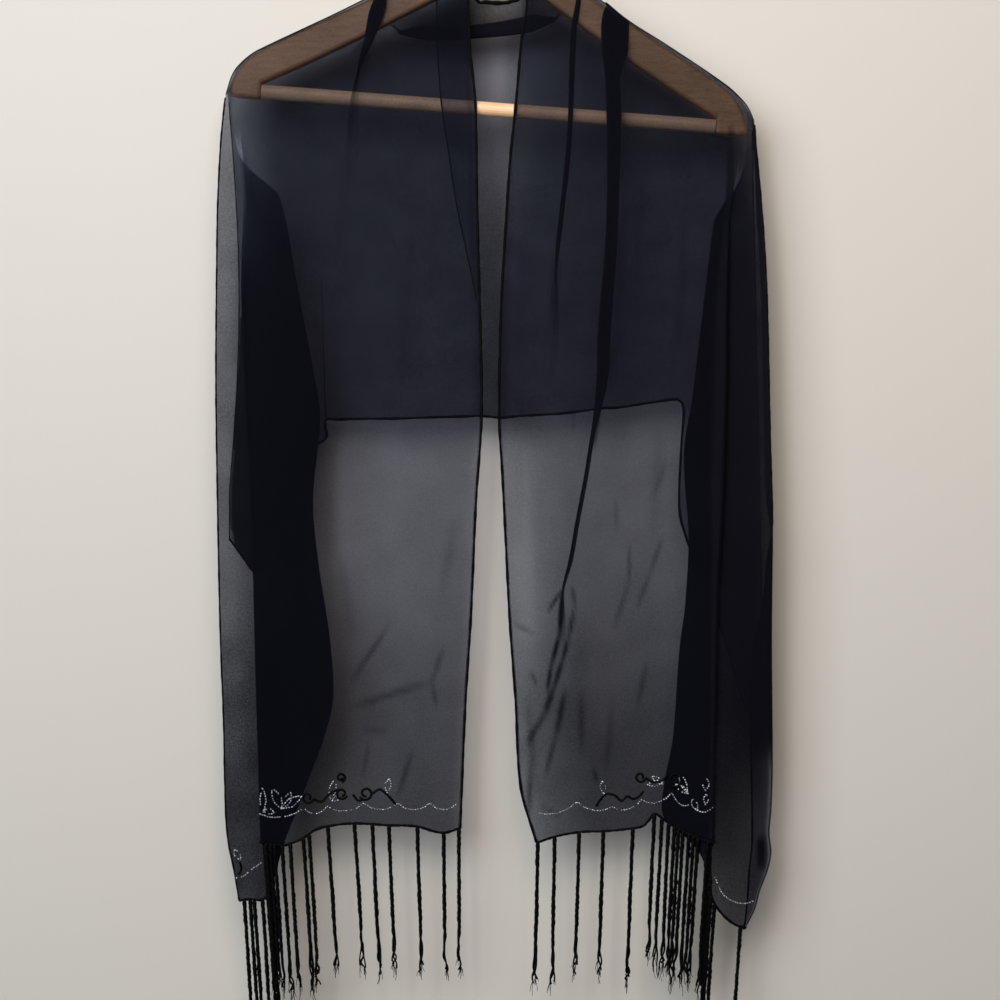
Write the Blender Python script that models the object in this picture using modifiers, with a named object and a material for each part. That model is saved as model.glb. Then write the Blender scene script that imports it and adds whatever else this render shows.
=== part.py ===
# A sheer scarf hung shawl fashion over a wooden hanger.
# Metres, +Z up, +X to the viewer's right, +Y away from the viewer.
# The origin is where the hook bears on the rod that holds it.
import math

import bmesh
import bpy
from mathutils import Matrix, Vector

for old in list(bpy.data.objects):
    bpy.data.objects.remove(old, do_unlink=True)

MM = 0.001

# The front view is measured in steps of the photograph: one step is this many
# millimetres, from the hanger's usual width of 445 mm over 529 steps.
STEP = 0.841
HOOK_ACROSS, HOOK_DOWN = 507.8, -145.9

# Hanger sizes, in millimetres, in its own upright frame before it tilts.
TILT = math.radians(4.4)
BOARD = 13.0
BOARD_EDGE = 3.0
BAR_R = 6.0
BAR_HALF = 192.0
BAR_Z = -213.6
WIRE_R = 1.6
SOCKET_R = 2.0
GAP = 0.3

# Cloth sizes, in millimetres.
WALL = 1.2
BEND_R = 1.5
CLEAR = 0.9
SHEET_FACE = BOARD / 2 + CLEAR

# Half of the hanger's outline: x, z from the apex round the tip to the middle.
ARM_OUTLINE = [
    (0, -71.5), (60, -104.5), (120, -137.1), (165, -162.5), (188, -175.8),
    (201, -184.3), (208.5, -191.6), (213.3, -198.8), (216.5, -207), (219, -215),
    (217.5, -219), (211, -220.2), (192.3, -220), (192.3, -206.8), (161, -190.5),
    (113, -163), (91, -149.5), (59, -130), (30, -112), (0, -104),
]

# Hook wire: x, z along its centre line, from inside the wood to its tip.
HOOK_LINE = [
    (0, -88), (0, -62), (0, -48), (3, -38), (11, -30), (16.5, -20),
    (17.5, -11), (14, -3), (7.5, 0.9), (0, WIRE_R), (-8, 0),
    (-14.5, -5), (-18, -13), (-17.5, -21), (-15, -28),
]

# Where the cloth lies on the arms: across, down, from tip to neck.
RIDGE_LEFT = [
    (225.5, 93), (230, 78), (236, 67), (251.5, 53), (271, 43), (299, 30),
    (364, 0), (420, -26), (468, -47),
]
RIDGE_RIGHT = [
    (527, -46), (575, -16), (601, 0), (627, 19.5), (668.6, 45.5),
    (727, 84.6), (743, 99.5), (749.5, 108.5), (754.5, 120),
]

# Edges of the left front stretch: down, across.
LEFT_INNER = [
    (-47, 468), (0, 468), (50, 470), (100, 475), (210, 477), (310, 479.7),
    (414, 481.4), (502, 475.7), (620, 470.4), (700, 465.3), (826, 460),
]
LEFT_FOLD = [
    (60, 238), (93, 242), (118, 246), (160, 245), (212, 244), (288, 242),
    (400, 246.6), (502, 252), (620, 255), (700, 257), (841, 261),
]
LEFT_UNDERFOLD = [
    (110, 250), (150, 258), (200, 281), (300, 300), (380, 315), (418, 320),
    (500, 313), (560, 318), (641, 330), (700, 333), (744, 322), (772, 311),
    (810, 297), (843, 284), (893, 270),
]
LEFT_OUTER = [
    (93, 225.5), (139, 221), (195, 218), (238, 217), (380, 216), (518, 218.4),
    (642, 221.4), (723, 224.5), (800, 226), (839, 226.5), (869, 233.7),
    (900, 238.8),
]
LEFT_HEM = [
    (261, 841), (288, 845), (304, 839), (314, 830), (326, 826), (353, 823),
    (388, 825), (416, 826), (443, 833), (462, 828),
]

# Edges of the right front stretch: down, across.
RIGHT_INNER = [
    (-46, 527), (5, 527), (38, 522), (100, 516.4), (160, 510.4), (235, 505.4),
    (309, 501.3), (415, 499.3), (472, 502.5), (533, 505.6), (620, 510),
    (700, 515.8), (787, 521), (841, 536.4),
]
RIGHT_FOLD = [
    (95, 741), (118, 736), (140, 733), (200, 730), (300, 726), (380, 723),
    (480, 721), (560, 720), (650, 718), (760, 718), (840, 716),
]
RIGHT_UNDERFOLD = [
    (140, 728), (200, 716), (300, 704), (400, 692), (452, 684), (538, 688),
    (603, 685), (647, 679.5), (740, 673), (797, 664), (818, 667), (838, 680),
    (855, 694), (875, 702), (893, 704),
]
RIGHT_OUTER = [
    (120, 754.5), (145, 756), (184, 759.7), (238, 764), (300, 767), (434, 769.7),
    (518, 772), (640, 771.5), (765, 772.7), (808, 771.6), (834, 769.5),
    (852, 771.6), (869, 768.4), (891, 759.7), (908, 755), (927, 745),
]
RIGHT_LAPEL = [
    (540, 768), (600, 763), (650, 753), (690, 750), (840, 752), (870, 749),
    (900, 747), (928, 744),
]
RIGHT_HEM = [
    (536.4, 841), (556, 835.5), (580, 832), (604, 831), (632, 828),
    (645, 821), (664, 815), (675, 826), (697, 838), (716, 840),
]

# Pleats: down, outer edge, inner edge, how far it is closed (0 to 1).
PLEAT_SHOULDER = [
    (-20, 373, 391, 0.8), (0, 371, 389, 0.8), (17, 368, 383, 1),
    (41, 364, 374, 1), (66, 357, 363, 0.8), (120, 351, 356, 0.25),
    (190, 350, 354, 0),
]
PLEAT_LONG = [
    (-20, 585, 577, 0.8), (0, 580, 572, 0.8), (60, 575, 567, 1),
    (160, 570, 562, 1), (226, 562, 554, 1), (309, 561, 553, 0.9),
    (364, 554, 547, 0.5), (430, 548, 542, 0.15), (533, 541, 535, 0),
    (620, 537, 531, 0),
    (780, 541, 535, 0), (841, 556, 550, 0),
]
PLEAT_WIDE = [
    (0, 630, 612, 0.8), (20, 624, 606, 0.8), (60, 618, 602, 1),
    (160, 615, 600, 1), (293, 610, 596, 1), (392, 602, 590, 1),
    (457, 592, 582, 1), (533, 578, 570, 0.8), (597, 567, 560, 0.35),
    (650, 566, 560, 0.1), (720, 568, 562, 0), (841, 584, 578, 0),
]

# Back stretch, a row for each line down the cloth: across and down at its
# top, whether the arm carries it there (1) or it hangs free (0), across and
# down at its lower edge, how far the neck fold is closed on it (0 to 1), and
# how far it swings outwards before it ends.
BACK_LINES = [
    (225.8, 92, 1, 227.6, 539, 0, 0),
    (236, 67, 1, 240, 556, 0, 0),
    (250, 54.5, 1, 255, 572, 0, 0),
    (262, 47.5, 1, 268, 536, 0, 0),
    (276, 40.5, 1, 284, 497, 0, 0),
    (292, 33, 1, 303, 455, 0, 0),
    (308, 26, 1, 323, 437, 0, 0),
    (322, 19.5, 1, 332, 419, 0, 0),
    (350, 6.5, 1, 358, 418, 0, 0),
    (370, -3, 1, 379, 418, 0.17, 0),
    (384, -9, 1, 394, 418, 0.33, 0),
    (398, -15.5, 1, 408, 417.5, 0.5, 0),
    (425, -28, 1, 436, 416.5, 1, 0),
    (462, -44.5, 1, 470, 415.5, 1, 0),
    (466, -47.5, 0, 476, 415, 1, 0),
    (476, -27, 0, 484, 415.5, 1, 0),
    (486, -13, 0, 491, 416, 1, 0),
    (499, -9, 0, 500, 417, 1, 0),
    (511, -14, 0, 511, 416, 1, 0),
    (521, -29, 0, 522, 415, 1, 0),
    (529, -47, 0, 532, 414.5, 1, 0),
    (533, -43, 1, 540, 414, 1, 0),
    (556, -28, 1, 560, 413, 0.5, 0),
    (570, -18.8, 1, 574, 411.5, 0.33, 0),
    (584, -10, 1, 589, 409.5, 0.17, 0),
    (598, -1.5, 1, 604, 407.5, 0, 0),
    (615, 10.5, 1, 622, 406.5, 0, 0),
    (650, 34, 1, 658, 401, 0, 0),
    (674, 49, 1, 684, 402, 0, 0),
    (688, 58.5, 1, 683, 446, 0, 12),
    (700, 66.5, 1, 681, 505, 0, 14),
    (712, 74.5, 1, 688, 538, 0, 10),
    (726, 84, 1, 708, 590, 0, 3),
    (739, 95.5, 1, 726, 640, 0, 0),
    (745.5, 104, 1, 738, 680, 0, 0),
    (750.5, 112, 1, 751, 714, 0, 0),
    (754.5, 121, 1, 765, 655, 0, 0),
]
NECK_FOLD_UPPER, NECK_FOLD_LOWER = 20.0, 38.0

# Hanging rows: share of the way from the arm to the hem.
FRONT_ROWS = 21
BACK_ROWS = 12

# Fringe, in millimetres: a narrow heading between these distances below the
# hem, and tassels at these distances along it from the inner corner.
HEADING_TOP, HEADING_FOOT = 0.8, 2.6
TASSEL_LENGTH = 126.0
LEFT_TASSELS = [
    1.5, 15, 38, 62, 76, 91, 113.5, 131, 137, 149, 156, 166, 183, 234, 241, 249.5,
]
RIGHT_TASSELS = [
    1.5, 16.5, 37.5, 58, 83, 106, 113.5, 120.5, 130.5, 137.5, 147, 176, 223, 239, 253,
]

# A tassel's outline: share of its length, radius in millimetres.
TASSEL_SHAPE = [(0.0, 0.7), (0.03, 1.0), (0.06, 1.7), (0.1, 1.1), (0.55, 1.3), (1.0, 1.6)]


def place(across, depth, down):
    """A point of the front view, at a depth in millimetres, in metres."""
    return Vector((
        (across - HOOK_ACROSS) * STEP * MM,
        depth * MM,
        (HOOK_DOWN - down) * STEP * MM,
    ))


def mix(a, b, share):
    return a + (b - a) * share


def ease(value):
    value = min(1.0, max(0.0, value))
    return value * value * (3 - 2 * value)


def read(table, at, column=1):
    """Value of a table's column at a height, along a smooth curve."""
    if at <= table[0][0]:
        return table[0][column]
    if at >= table[-1][0]:
        return table[-1][column]
    k = next(i for i in range(len(table) - 1) if at <= table[i + 1][0])

    def slope(i):
        low, high = max(0, i - 1), min(len(table) - 1, i + 1)
        rise = table[high][column] - table[low][column]
        return rise / (table[high][0] - table[low][0])

    span = table[k + 1][0] - table[k][0]
    t = (at - table[k][0]) / span
    start, end = table[k][column], table[k + 1][column]
    return (
        (2 * t ** 3 - 3 * t ** 2 + 1) * start
        + (t ** 3 - 2 * t ** 2 + t) * span * slope(k)
        + (3 * t ** 2 - 2 * t ** 3) * end
        + (t ** 3 - t ** 2) * span * slope(k + 1)
    )


def sway(across, down):
    """Shared slow waves of the hanging cloth, in millimetres of depth."""
    strength = 5.0 * ease((down - 170) / 420)
    broad = math.sin(across / 27 + down / 260)
    fine = math.sin(across / 15.5 - down / 190)
    return strength * (0.65 * broad + 0.35 * fine)


def fold_path(turn, run, curls):
    """Forward and rise, in millimetres, at the points of an opening fold.

    The cloth curls through an angle, runs straight and, for two curls, curls
    back again, always over the same length, so that it never meets itself.
    """
    turn = min(math.pi, max(turn, 0.001))
    radius = BEND_R * math.pi / turn
    path = [(radius * math.sin(turn * n / 3), radius * (1 - math.cos(turn * n / 3)))
            for n in range(4)]
    forward, rise = path[-1]
    forward += run * math.cos(turn)
    rise += run * math.sin(turn)
    if curls == 1:
        return path + [(forward, rise)]
    for n in range(4):
        left = turn * (1 - n / 3)
        path.append((
            forward + radius * (math.sin(turn) - math.sin(left)),
            rise + radius * (math.cos(left) - math.cos(turn)),
        ))
    return path


def pleat_points(table, out, base):
    """Eight points of a pleat: each gives across and depth at a height."""
    def point_at(i):
        def point(down):
            outer, inner = read(table, down), read(table, down, 2)
            run = max(0.8, out * (outer - inner) * STEP - 2 * BEND_R)
            path = fold_path(math.pi * read(table, down, 3), run, 2)
            forward = path[i][0] - path[-1][0] / 2
            return (outer + inner) / 2 + out * forward / STEP, base + path[i][1]
        return point

    return [point_at(i) for i in range(8)]


def side_closed(tip, down):
    return ease((down - tip - 10) / 95)


def side_path(side, down):
    closed = side_closed(side["tip"], down)
    width = side["out"] * (read(side["fold"], down) - read(side["under"], down))
    run = mix(0.8, max(0.8, width * STEP - 2 * BEND_R), closed ** 3)
    return fold_path(math.pi * closed, run, 2)


def lapel_path(side, down):
    """The outer border's turned-in fold; flat where there is none."""
    if not side["lapel"]:
        return [(0.0, 0.0)] * 5
    width = read(side["outer"], down) - read(side["lapel"], down)
    run = max(0.8, width * STEP - BEND_R)
    return fold_path(math.pi * ease((down - 470) / 110), run, 1)


def side_points(side):
    """Points round the side folds, from the front panel to the rear layer."""
    def point_at(i):
        def point(down):
            closed = side_closed(side["tip"], down)
            path = side_path(side, down)
            start = mix(side["fold"][0][1],
                        read(side["fold"], down) - side["out"] * BEND_R / STEP, closed)
            forward = path[i][0] * mix(0.5, 1.0, closed)
            depth = path[-1][1] - path[i][1] + lapel_path(side, down)[-1][1]
            return start + side["out"] * forward / STEP, depth
        return point

    return [point_at(i) for i in range(8)]


def lapel_points(side):
    """Points round the fold at the outer edge, where the border turns in."""
    def point_at(i):
        def point(down):
            path = lapel_path(side, down)
            tight = mix(0.4, 1.0, ease((down - side["tip"]) / 120))
            reach = max(forward for forward, _ in path)
            forward = (path[i][0] - reach) * tight
            across = read(side["outer"], down) + side["out"] * forward / STEP
            return across, path[-1][1] - path[i][1]
        return point

    return [point_at(i) for i in range(5)]


def cover_point(side):
    """Where the front panel must already lie clear of the folds behind it."""
    def point(down):
        depth = side_path(side, down)[-1][1] + lapel_path(side, down)[-1][1]
        return read(side["under"], down) - side["out"] * 7, depth

    return point


def edge_point(table, depth):
    return lambda down: (read(table, down), depth)


def columns_between(points, counts):
    """Every line down the cloth, as two neighbouring points and a share."""
    lines = []
    for k, count in enumerate(counts):
        lines += [(k, n / count) for n in range(count)]
    return lines + [(len(counts) - 1, 1.0)]


def front_stretch(points, counts, ridge, hems):
    """Rows of points from the arm's top edge down to the hem."""
    lines = columns_between(points, counts)

    def across_depth(line, down):
        k, share = line
        here, there = points[k](down), points[k + 1](down)
        return mix(here[0], there[0], share), mix(here[1], there[1], share)

    columns = []
    for line in lines:
        across, depth = across_depth(line, 0)
        top = read(ridge, across)
        for _ in range(6):
            top = read(ridge, across_depth(line, top)[0])
        across, depth = across_depth(line, top)
        reach = CLEAR + depth
        flat = BOARD / 2 - BOARD_EDGE
        column = [
            place(across, -GAP / 2, top - reach / STEP),
            place(across, -flat, top - reach / STEP),
        ]
        for angle in (45, 90):
            turn = math.radians(angle)
            radius = BOARD_EDGE + reach
            lift = radius * math.cos(turn) - BOARD_EDGE
            column.append(place(across, -flat - radius * math.sin(turn),
                                top - lift / STEP))
        start = top + BOARD_EDGE / STEP
        hem = hems(line, across_depth)
        for row in range(1, FRONT_ROWS + 1):
            down = mix(start, hem, (row / FRONT_ROWS) ** 1.4)
            across, depth = across_depth(line, down)
            column.append(place(across, sway(across, down) - SHEET_FACE - depth, down))
        columns.append(column)
    return columns


def back_stretch():
    """Rows of points of the back, with the fold below the neck."""
    columns = []
    for across0, down0, held, across1, down1, closed, swing in BACK_LINES:
        flat = BOARD / 2 - BOARD_EDGE
        wrapped = [(GAP / 2, -CLEAR), (flat, -CLEAR)]
        for angle in (45, 90):
            turn = math.radians(angle)
            radius = BOARD_EDGE + CLEAR
            lift = radius * math.cos(turn) - BOARD_EDGE
            wrapped.append((flat + radius * math.sin(turn), -lift))
        column = []
        for row, (depth, below) in enumerate(wrapped):
            free_depth, free_below = SHEET_FACE, 1.6 * row
            column.append(place(
                across0,
                mix(free_depth, depth, held),
                down0 + mix(free_below, below, held) / STEP,
            ))
        first = down0 + mix(1.6 * 3, BOARD_EDGE, held) / STEP

        def along(down):
            share = (down - down0) / (down1 - down0)
            bulge = share ** 4 * (1 - share) / 0.082 if share > 0 else 0
            return mix(across0, across1, share) + swing * bulge

        tucked = max(0.0, 2 * closed - 1)
        run = mix(0.8, (NECK_FOLD_LOWER - NECK_FOLD_UPPER) * STEP - 2 * BEND_R, tucked)
        path = fold_path(math.pi * min(1.0, 2 * closed), run, 2)
        start = mix(first + 3, NECK_FOLD_LOWER - BEND_R / STEP, min(1.0, 2 * closed))
        for forward, rise in path:
            down = start + forward / STEP
            column.append(place(along(down), SHEET_FACE + rise, down))
        last = down
        layers = path[-1][1]
        for row in range(1, BACK_ROWS + 1):
            down = mix(last, down1, row / BACK_ROWS)
            across = along(down)
            settle = layers * (1 - ease((down - 60) / 120))
            column.append(place(across, sway(across, down) + SHEET_FACE + settle, down))
        columns.append(column)
    return columns


def collection_for(name):
    made = bpy.data.collections.new(name)
    bpy.context.scene.collection.children.link(made)
    return made


def material(name, colour, roughness, metallic=0.0):
    made = bpy.data.materials.new(name)
    made.use_nodes = True
    shader = made.node_tree.nodes["Principled BSDF"]
    shader.inputs["Base Color"].default_value = (*colour, 1.0)
    shader.inputs["Roughness"].default_value = roughness
    shader.inputs["Metallic"].default_value = metallic
    made.diffuse_color = (*colour, 1.0)
    return made


def finish(mesh_or_curve, name, home, look=None):
    made = bpy.data.objects.new(name, mesh_or_curve)
    home.objects.link(made)
    if look:
        made.data.materials.append(look)
    return made


def closed_from_curve(curve, name, home, look=None):
    """Turn a bevelled curve into one closed mesh with its caps joined on."""
    drawn = bpy.data.objects.new(name + "_line", curve)
    home.objects.link(drawn)
    graph = bpy.context.evaluated_depsgraph_get()
    mesh = bpy.data.meshes.new_from_object(drawn.evaluated_get(graph))
    bpy.data.objects.remove(drawn, do_unlink=True)
    mesh.name = name
    shape = bmesh.new()
    shape.from_mesh(mesh)
    bmesh.ops.remove_doubles(shape, verts=shape.verts, dist=0.000001)
    bmesh.ops.recalc_face_normals(shape, faces=shape.faces)
    shape.to_mesh(mesh)
    shape.free()
    return finish(mesh, name, home, look)


def grid_mesh(columns, name):
    """A sheet of four-sided faces through columns of points."""
    mesh = bpy.data.meshes.new(name)
    rows = len(columns[0])
    points = [point for column in columns for point in column]
    faces = []
    for c in range(len(columns) - 1):
        for r in range(rows - 1):
            at = c * rows + r
            faces.append((at, at + 1, at + rows + 1, at + rows))
    mesh.from_pydata(points, [], faces)
    return mesh


def sheet(columns, name, home, look):
    """A cloth wall of even thickness about a sheet of points."""
    made = finish(grid_mesh(columns, name), name, home, look)
    wall = made.modifiers.new("wall", "SOLIDIFY")
    wall.thickness = WALL * MM
    wall.offset = 0.0
    return made


scarf = collection_for("beaded_scarf")
cutters = collection_for("cutters")
cutters.hide_render = True
chiffon = material("black_chiffon", (0.012, 0.013, 0.018), 0.75)
thread = material("black_thread", (0.008, 0.008, 0.011), 0.6)
wood = material("pale_wood", (0.72, 0.52, 0.34), 0.5)
steel = material("bright_steel", (0.75, 0.75, 0.76), 0.25, 1.0)

# Left front stretch.
left_hems = [841, 841, 841, 841, 893, 894, 895, 895, 900]


def left_hem(line, across_depth):
    k, share = line
    if k < 10:
        return read(LEFT_HEM, across_depth(line, 832)[0])
    if k < 17:
        return mix(left_hems[k - 10], left_hems[k - 9], share)
    return read([(0, 895), (0.2, 900), (0.65, 899), (1, 900)], share)


LEFT = {"out": -1, "tip": 93, "fold": LEFT_FOLD, "under": LEFT_UNDERFOLD,
        "outer": LEFT_OUTER, "lapel": None}
left_points = (
    [edge_point(LEFT_INNER, 0)]
    + pleat_points(PLEAT_SHOULDER, -1, 0)
    + [cover_point(LEFT)]
    + side_points(LEFT)
    + [edge_point(LEFT_OUTER, 0)]
)
left_columns = front_stretch(
    left_points, [4, 1, 1, 1, 1, 1, 1, 1, 3, 4, 1, 1, 1, 3, 1, 1, 1, 4],
    RIDGE_LEFT, left_hem,
)
sheet(left_columns, "scarf_front_left", scarf, chiffon)

# Right front stretch.
right_hems = [840, 840, 840, 840, 893, 893, 893, 893]


def right_hem(line, across_depth):
    k, share = line
    if k < 18:
        return read(RIGHT_HEM, across_depth(line, 832)[0])
    if k < 25:
        return mix(right_hems[k - 18], right_hems[k - 17], share)
    if k == 25:
        return read([(0, 893), (0.25, 900), (0.5, 916), (0.75, 923), (1, 926)], share)
    return mix(926, 928, (k - 26 + share) / 4)


RIGHT = {"out": 1, "tip": 120, "fold": RIGHT_FOLD, "under": RIGHT_UNDERFOLD,
         "outer": RIGHT_OUTER, "lapel": RIGHT_LAPEL}
right_points = (
    [edge_point(RIGHT_INNER, 0)]
    + pleat_points(PLEAT_LONG, 1, 0)
    + pleat_points(PLEAT_WIDE, 1, 1)
    + [cover_point(RIGHT)]
    + side_points(RIGHT)
    + lapel_points(RIGHT)
)
right_columns = front_stretch(
    right_points,
    [3, 1, 1, 1, 1, 1, 1, 1, 3, 1, 1, 1, 1, 1, 1, 1, 4, 3, 1, 1, 1, 3, 1, 1, 1,
     4, 1, 1, 1, 1],
    RIDGE_RIGHT, right_hem,
)
sheet(right_columns, "scarf_front_right", scarf, chiffon)

sheet(back_stretch(), "scarf_back", scarf, chiffon)


def hem_frame(columns):
    """Points along a hem, each with the direction that leads off the cloth."""
    frame = []
    for j, column in enumerate(columns):
        before = columns[max(0, j - 1)][-1]
        after = columns[min(len(columns) - 1, j + 1)][-1]
        along = (after - before).normalized()
        fall = (column[-1] - column[-2]).normalized()
        frame.append((column[-1], (fall - along * fall.dot(along)).normalized()))
    ways = [frame[0][1]] + [way for _, way in frame] + [frame[-1][1]]
    return [(point, (ways[j] + 2 * way + ways[j + 2]).normalized())
            for j, (point, way) in enumerate(frame)]


def tassel(root, lean, length):
    """Points and radii of one tassel, hanging from its root."""
    start_down = HOOK_DOWN - root.z / (STEP * MM)
    start_across = root.x / (STEP * MM) + HOOK_ACROSS
    points = []
    for share, radius in TASSEL_SHAPE:
        down = start_down + share * length / STEP
        across = start_across + lean * (down - start_down)
        drift = sway(across, down) - sway(start_across, start_down)
        points.append((place(across, root.y / MM + drift, down), radius))
    return points


def fringe(columns, distances, lean, name):
    """Heading and tassels as one solid, a little below a front hem."""
    frame = hem_frame(columns)
    strips = [[p + d * HEADING_TOP * MM, p + d * HEADING_FOOT * MM] for p, d in frame]
    heading = sheet(strips, name, scarf, thread)
    curve = bpy.data.curves.new(name + "_tassels", "CURVE")
    curve.dimensions = "3D"
    curve.bevel_depth = MM
    curve.bevel_resolution = 0
    curve.use_fill_caps = True
    travelled = [0.0]
    for j in range(1, len(frame)):
        travelled.append(travelled[-1] + (frame[j][0] - frame[j - 1][0]).length / MM)
    for n, distance in enumerate(distances):
        j = next(i for i in range(len(frame) - 1) if distance <= travelled[i + 1])
        share = (distance - travelled[j]) / (travelled[j + 1] - travelled[j])
        root = frame[j][0].lerp(frame[j + 1][0], share)
        off = frame[j][1].lerp(frame[j + 1][1], share).normalized()
        length = TASSEL_LENGTH + 7 * math.sin(n * 2.3)
        points = tassel(root + off * (HEADING_FOOT - 0.8) * MM, lean, length)
        spline = curve.splines.new("POLY")
        spline.points.add(len(points) - 1)
        for spot, (point, radius) in zip(spline.points, points):
            spot.co = (*point, 1.0)
            spot.radius = radius
    strands = closed_from_curve(curve, name + "_tassels", cutters)
    strands.display_type = "WIRE"
    strands.hide_render = True
    join = heading.modifiers.new("tassels", "BOOLEAN")
    join.operation = "UNION"
    join.solver = "EXACT"
    join.object = strands
    return heading


fringe(left_columns, LEFT_TASSELS, 0.07, "fringe_left")
fringe(right_columns, RIGHT_TASSELS, -0.04, "fringe_right")


def tilted(obj):
    obj.rotation_euler = (obj.rotation_euler.x, TILT, 0.0)
    return obj


# Hanger arms, cut from one board.
outline = ARM_OUTLINE + [(-x, z) for x, z in reversed(ARM_OUTLINE[1:-1])]
board = bpy.data.meshes.new("hanger_body")
board.from_pydata([(x * MM, 0.0, z * MM) for x, z in outline], [],
                  [tuple(range(len(outline)))])
body = tilted(finish(board, "hanger_body", scarf, wood))
thick = body.modifiers.new("board", "SOLIDIFY")
thick.thickness = BOARD * MM
thick.offset = 0.0
soften = body.modifiers.new("soften", "BEVEL")
soften.width = 2.5 * MM
soften.segments = 2
soften.limit_method = "ANGLE"
soften.angle_limit = math.radians(70)

bpy.ops.mesh.primitive_cylinder_add(
    vertices=16, radius=SOCKET_R * MM, depth=0.04,
    location=Matrix.Rotation(TILT, 4, "Y") @ Vector((0, 0, -0.0685)),
)
socket = bpy.context.object
socket.name = "hook_socket"
for home in list(socket.users_collection):
    home.objects.unlink(socket)
cutters.objects.link(socket)
socket.rotation_euler.y = TILT
socket.display_type = "WIRE"
socket.hide_render = True
drill = body.modifiers.new("socket", "BOOLEAN")
drill.operation = "DIFFERENCE"
drill.solver = "EXACT"
drill.object = socket

# Dowel bar between the arms.
bpy.ops.mesh.primitive_cylinder_add(
    vertices=20, radius=BAR_R * MM, depth=2 * BAR_HALF * MM,
    location=Matrix.Rotation(TILT, 4, "Y") @ Vector((0, 0, BAR_Z * MM)),
    rotation=(0, math.radians(90) + TILT, 0),
)
bar = bpy.context.object
bar.name = "hanger_bar"
bar.data.name = "hanger_bar"
bar.data.materials.append(wood)
for home in list(bar.users_collection):
    home.objects.unlink(bar)
scarf.objects.link(bar)

# Steel hook.
wire = bpy.data.curves.new("hanger_hook", "CURVE")
wire.dimensions = "3D"
wire.bevel_depth = WIRE_R * MM
wire.bevel_resolution = 2
wire.resolution_u = 2
wire.use_fill_caps = True
line = wire.splines.new("BEZIER")
line.bezier_points.add(len(HOOK_LINE) - 1)
for spot, (x, z) in zip(line.bezier_points, HOOK_LINE):
    spot.co = (x * MM, 0.0, z * MM)
    spot.handle_left_type = spot.handle_right_type = "AUTO"
tilted(closed_from_curve(wire, "hanger_hook", scarf, steel))
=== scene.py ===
import math
import random

import bpy
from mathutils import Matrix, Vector
from mathutils.bvhtree import BVHTree


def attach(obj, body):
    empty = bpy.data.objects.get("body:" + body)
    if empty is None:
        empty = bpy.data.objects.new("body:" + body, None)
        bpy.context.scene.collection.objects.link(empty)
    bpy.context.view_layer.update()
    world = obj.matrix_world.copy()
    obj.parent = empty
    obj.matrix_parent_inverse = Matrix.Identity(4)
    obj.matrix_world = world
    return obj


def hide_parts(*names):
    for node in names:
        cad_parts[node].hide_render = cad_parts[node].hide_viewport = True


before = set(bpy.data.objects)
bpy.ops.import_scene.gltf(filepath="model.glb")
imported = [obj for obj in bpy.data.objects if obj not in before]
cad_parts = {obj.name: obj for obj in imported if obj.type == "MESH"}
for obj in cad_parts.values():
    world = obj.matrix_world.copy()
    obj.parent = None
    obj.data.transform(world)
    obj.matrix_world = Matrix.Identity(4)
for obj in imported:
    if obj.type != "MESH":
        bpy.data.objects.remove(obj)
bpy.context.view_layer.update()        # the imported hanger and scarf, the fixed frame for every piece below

print("frame loaded:", len(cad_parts), "nodes")

# Front view: one step is 0.841 mm of real size, the hook's bearing point is the origin.
mm = 0.001
step = 0.841
hookAcross, hookDown = 507.8, -145.9

# Cloth lies 0.9 mm off the 13 mm board; folds turn round a 1.5 mm radius.
boardThick, boardEdge, clearance = 13.0, 3.0, 0.9
bendRadius, curlSteps = 1.5, 5
foldPoints = 2 * (curlSteps + 1)
sheetFace = boardThick / 2 + clearance


def place(across, depth, down):
    return Vector(((across - hookAcross) * step, depth, (hookDown - down) * step)) * mm


def acrossOf(point):
    return point.x / (step * mm) + hookAcross


def downOf(point):
    return hookDown - point.z / (step * mm)


def mix(a, b, share):
    return a + (b - a) * share


def ease(value):
    value = min(1.0, max(0.0, value))
    return value * value * (3 - 2 * value)


def read(table, at, column=1):
    # a table's column at a height, along a smooth curve
    if at <= table[0][0]:
        return table[0][column]
    if at >= table[-1][0]:
        return table[-1][column]
    k = next(i for i in range(len(table) - 1) if at <= table[i + 1][0])

    def slope(i):
        low, high = max(0, i - 1), min(len(table) - 1, i + 1)
        return (table[high][column] - table[low][column]) / (table[high][0] - table[low][0])

    span = table[k + 1][0] - table[k][0]
    t = (at - table[k][0]) / span
    return ((2 * t ** 3 - 3 * t ** 2 + 1) * table[k][column]
            + (t ** 3 - 2 * t ** 2 + t) * span * slope(k)
            + (3 * t ** 2 - 2 * t ** 3) * table[k + 1][column]
            + (t ** 3 - t ** 2) * span * slope(k + 1))


def newPiece(name, points, faces, look):
    mesh = bpy.data.meshes.new(name)
    mesh.from_pydata(points, [], faces)
    mesh.materials.append(look)
    made = bpy.data.objects.new(name, mesh)
    bpy.context.scene.collection.objects.link(made)
    return made


def gridFaces(columns):
    # quads between neighbouring columns of points, each column listed from the top down
    rows = len(columns[0])
    return [(c * rows + r, c * rows + r + 1, (c + 1) * rows + r + 1, (c + 1) * rows + r)
            for c in range(len(columns) - 1) for r in range(rows - 1)]


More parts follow.
